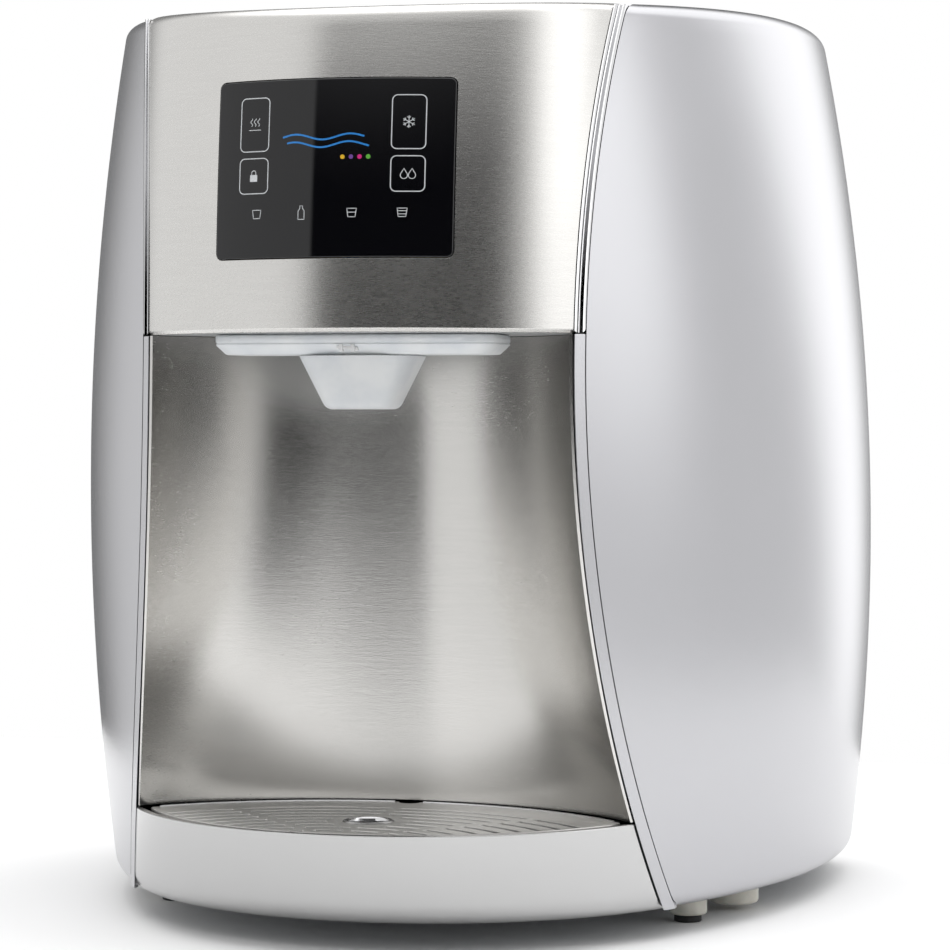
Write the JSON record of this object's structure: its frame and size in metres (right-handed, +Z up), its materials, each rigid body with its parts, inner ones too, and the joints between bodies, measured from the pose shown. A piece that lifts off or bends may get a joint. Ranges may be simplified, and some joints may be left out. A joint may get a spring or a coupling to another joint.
{
  "type": "countertop water dispenser",
  "caption": "Barrel-shaped countertop water dispenser with a touch display, a dispensing niche with one nozzle, and a slide-out drip tray with a slotted grid.",
  "frame": {"origin": "on the worktop, at the middle of the dispenser left to right and front to back", "axes": "+X to the right of a person facing the front, +Y towards the rear panel, +Z up"},
  "size_m": [0.3746, 0.3866, 0.414],
  "materials": {
    "satin_silver": "satin silver metallic paint",
    "brushed_silver": "brushed, warm grey",
    "chrome_trim": "polished",
    "black_glass": "gloss black, printed from behind",
    "milky_plastic": "translucent milky white",
    "grey_plastic": "fine texture",
    "dark_plastic": "fine texture",
    "white_plastic": "smooth",
    "cream_plastic": "smooth",
    "black_rubber": "matt",
    "red_plastic": "smooth",
    "zinc_sheet": "zinc-plated sheet",
    "tank_steel": "pressed and welded",
    "foam": "expanded foam",
    "black_paint": "semi-gloss black",
    "aluminium_fins": "mill finish",
    "circuit_board": "solder mask",
    "brass": "machined",
    "blue_tube": "smooth",
    "red_tube": "smooth"
  },
  "bodies": {
    "housing": {"right_side_shell": "satin_silver", "left_side_shell": "satin_silver", "right_head_trim": "chrome_trim", "left_head_trim": "chrome_trim", "right_edge_strip": "satin_silver", "left_edge_strip": "satin_silver", "front_panel": "brushed_silver", "display_glass": "black_glass", "touch_board": "circuit_board", "niche_wall": "brushed_silver", "head_underside": "grey_plastic", "nozzle_plate": "milky_plastic", "hot_spout": "tank_steel", "cold_spout": "tank_steel", "base_pan": "zinc_sheet", "left_front_foot": "cream_plastic", "left_front_foot_pad": "black_rubber", "left_rear_foot": "cream_plastic", "left_rear_foot_pad": "black_rubber", "left_support_foot": "cream_plastic", "right_front_foot": "cream_plastic", "right_front_foot_pad": "black_rubber", "right_rear_foot": "cream_plastic", "right_rear_foot_pad": "black_rubber", "right_support_foot": "cream_plastic", "top_cover": "grey_plastic", "rear_panel": "zinc_sheet", "rear_screw_1": "tank_steel", "rear_screw_2": "tank_steel", "rear_screw_3": "tank_steel", "rear_screw_4": "tank_steel", "mains_inlet": "dark_plastic", "switch_housing": "dark_plastic", "water_inlet": "white_plastic", "drain_plug": "dark_plastic", "left_upright": "zinc_sheet", "right_upright": "zinc_sheet", "tank_shelf": "zinc_sheet", "cold_tank_jacket": "foam", "cold_tank": "tank_steel", "hot_tank": "tank_steel", "compressor": "black_paint", "condenser": "aluminium_fins", "fan_frame": "dark_plastic", "filter_head": "dark_plastic", "hot_valve": "brass", "cold_valve": "brass", "hot_water_tube": "red_tube", "cold_water_tube": "blue_tube", "power_board": "circuit_board"},
    "tray": {"tray_fascia": "satin_silver", "tray_reservoir": "grey_plastic"},
    "grid": {"drip_grid": "brushed_silver"},
    "float": {"overflow_float": "red_plastic"},
    "cup": {"nozzle_cup": "milky_plastic"},
    "fan": {"fan_rotor": "black_paint"},
    "hot_switch": {"hot_rocker": "red_plastic"},
    "cold_switch": {"cold_rocker": "white_plastic"},
    "filter": {"filter_cartridge": "white_plastic"}
  },
  "joints": [
    {"name": "tray_slide", "type": "slide", "parent": "housing", "child": "tray", "axis": [0, -1, 0], "range_m": [0, 0.12]},
    {"name": "grid_lift", "type": "slide", "parent": "tray", "child": "grid", "axis": [0, -0.5, 0.866], "range_m": [0, 0.03]},
    {"name": "float_rise", "type": "slide", "parent": "tray", "child": "float", "axis": [0, 0, 1], "range_m": [0, 0.006]},
    {"name": "cup_drop", "type": "slide", "parent": "housing", "child": "cup", "axis": [0, 0, -1], "range_m": [0, 0.025]},
    {"name": "fan_spin", "type": "hinge", "parent": "housing", "child": "fan", "pos_m": [0.062, 0.1128, 0.0795], "axis": [0, 1, 0], "continuous": true},
    {"name": "hot_switch_rock", "type": "hinge", "parent": "housing", "child": "hot_switch", "pos_m": [-0.0405, 0.1883, 0.092], "axis": [1, 0, 0], "range_deg": [-8, 8]},
    {"name": "cold_switch_rock", "type": "hinge", "parent": "housing", "child": "cold_switch", "pos_m": [-0.0595, 0.1883, 0.092], "axis": [1, 0, 0], "range_deg": [-8, 8]},
    {"name": "filter_twist", "type": "hinge", "parent": "housing", "child": "filter", "pos_m": [0.088, -0.0057, 0.1284], "axis": [0, 0, 1], "range_deg": [0, 60]}
  ]
}
